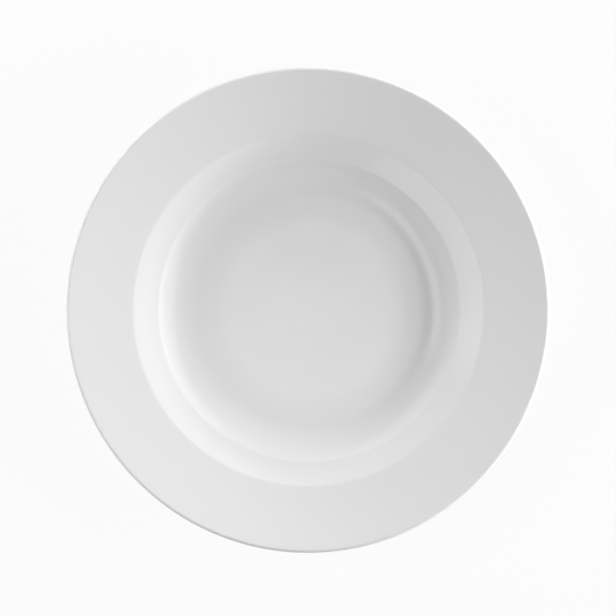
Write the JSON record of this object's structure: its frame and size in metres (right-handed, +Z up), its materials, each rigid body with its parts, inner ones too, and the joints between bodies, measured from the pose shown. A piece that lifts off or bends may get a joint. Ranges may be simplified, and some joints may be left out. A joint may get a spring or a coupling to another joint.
{
  "type": "pasta bowl",
  "caption": "Round white porcelain pasta bowl with a wide sloping rim, a steeper shoulder, a rounded well with a gently dished floor and a bare foot ring.",
  "frame": {"origin": "on the table, under the centre of the bowl", "axes": "+Z up along the axis that the bowl is turned about; X and Y are alike"},
  "size_m": [0.305, 0.305, 0.042],
  "materials": {
    "porcelain_body": "matt fired clay",
    "clear_glaze": "glossy white"
  },
  "bodies": {
    "root": {"porcelain_body": "porcelain_body", "glaze_coat": "clear_glaze", "foot_recess_glaze": "clear_glaze"}
  },
  "joints": []
}
